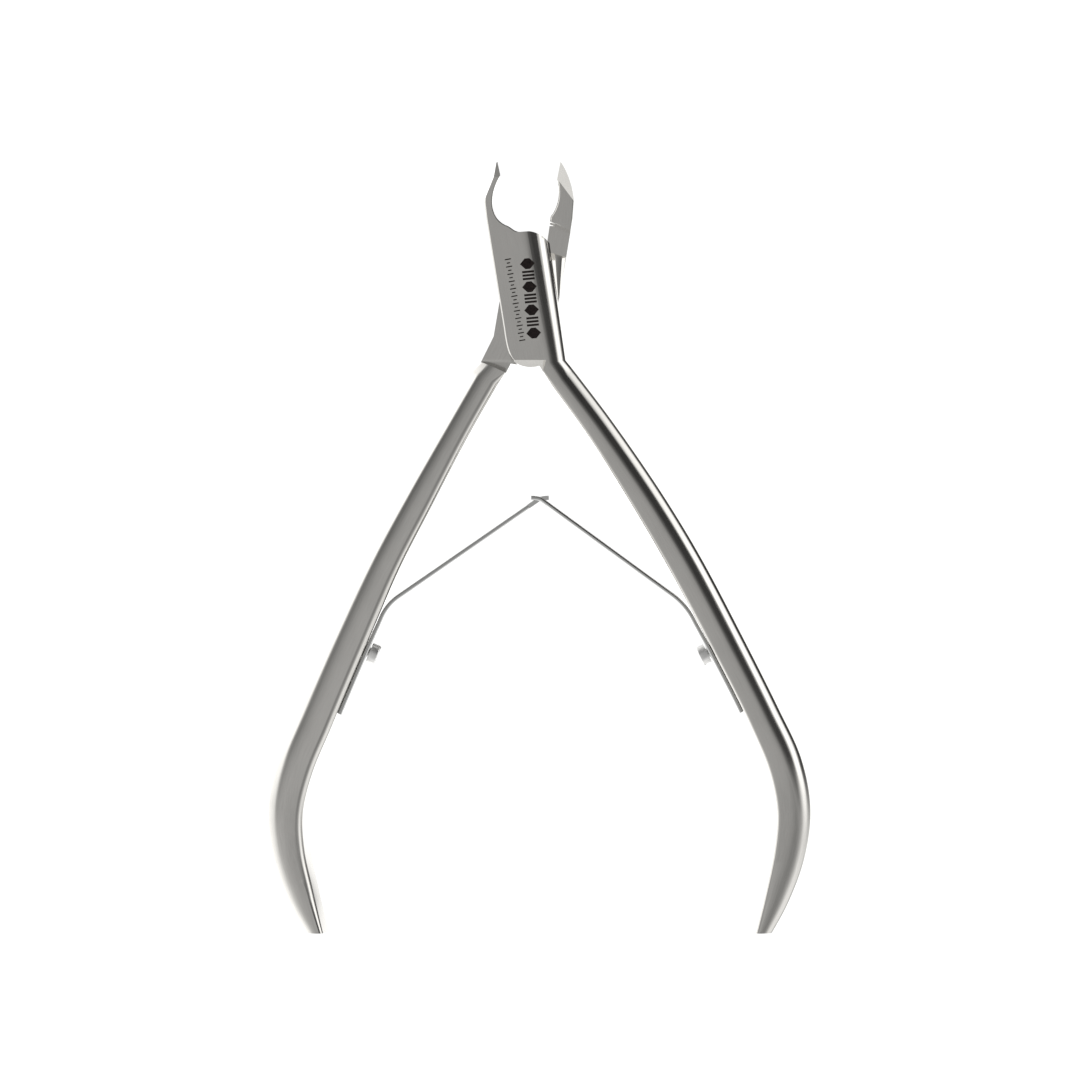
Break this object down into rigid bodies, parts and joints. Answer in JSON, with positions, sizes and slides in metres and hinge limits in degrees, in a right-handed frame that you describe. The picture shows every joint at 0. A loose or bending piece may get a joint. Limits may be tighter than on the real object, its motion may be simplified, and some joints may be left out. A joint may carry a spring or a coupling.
{
  "type": "cuticle nipper",
  "caption": "Open cuticle nipper: crossed steel levers on a lap pivot, pointed half-moon jaws, curved handles held apart by interlocking leaf springs.",
  "frame": {"origin": "on the pivot axis, in the back plane that the nipper rests on when it lies down", "axes": "+Y towards the jaws, +Z out of the front face of the front plate, +X towards the handle of the front lever"},
  "size_m": [0.0777, 0.1101, 0.006],
  "materials": {
    "satin_steel": "fine satin stainless steel on the flats, brighter polish on the rounded sides",
    "rivet_steel": "stainless steel ground flush with the plate",
    "spring_steel": "bright rolled spring steel strip",
    "screw_steel": "turned stainless steel with a satin head"
  },
  "bodies": {
    "rear_lever": {"rear_lever": "satin_steel", "left_spring_foot": "spring_steel", "left_spring_screw": "screw_steel"},
    "front_lever": {"front_lever": "satin_steel", "pivot_rivet": "rivet_steel", "right_spring_foot": "spring_steel", "right_spring_screw": "screw_steel"},
    "left_spring_arm": {"left_spring_blade": "spring_steel"},
    "right_spring_arm": {"right_spring_blade": "spring_steel"}
  },
  "joints": [
    {"name": "pivot", "type": "hinge", "parent": "rear_lever", "child": "front_lever", "pos_m": [0, 0, 0.003], "axis": [0, 0, -1], "range_deg": [0, 24.7], "stiffness_Nm_per_rad": 1.2, "springref_deg": -6.88},
    {"name": "left_spring_flex", "type": "hinge", "parent": "rear_lever", "child": "left_spring_arm", "pos_m": [-0.02009, -0.04299, 0.003], "axis": [0, 0, 1], "range_deg": [0, 14]},
    {"name": "right_spring_flex", "type": "hinge", "parent": "front_lever", "child": "right_spring_arm", "pos_m": [0.02214, -0.04299, 0.003], "axis": [0, 0, -1], "range_deg": [0, 19]}
  ],
  "couplings": [
    {"joint": "left_spring_flex", "follows": "pivot", "ratio": 0.539},
    {"joint": "right_spring_flex", "follows": "pivot", "ratio": 0.731}
  ]
}
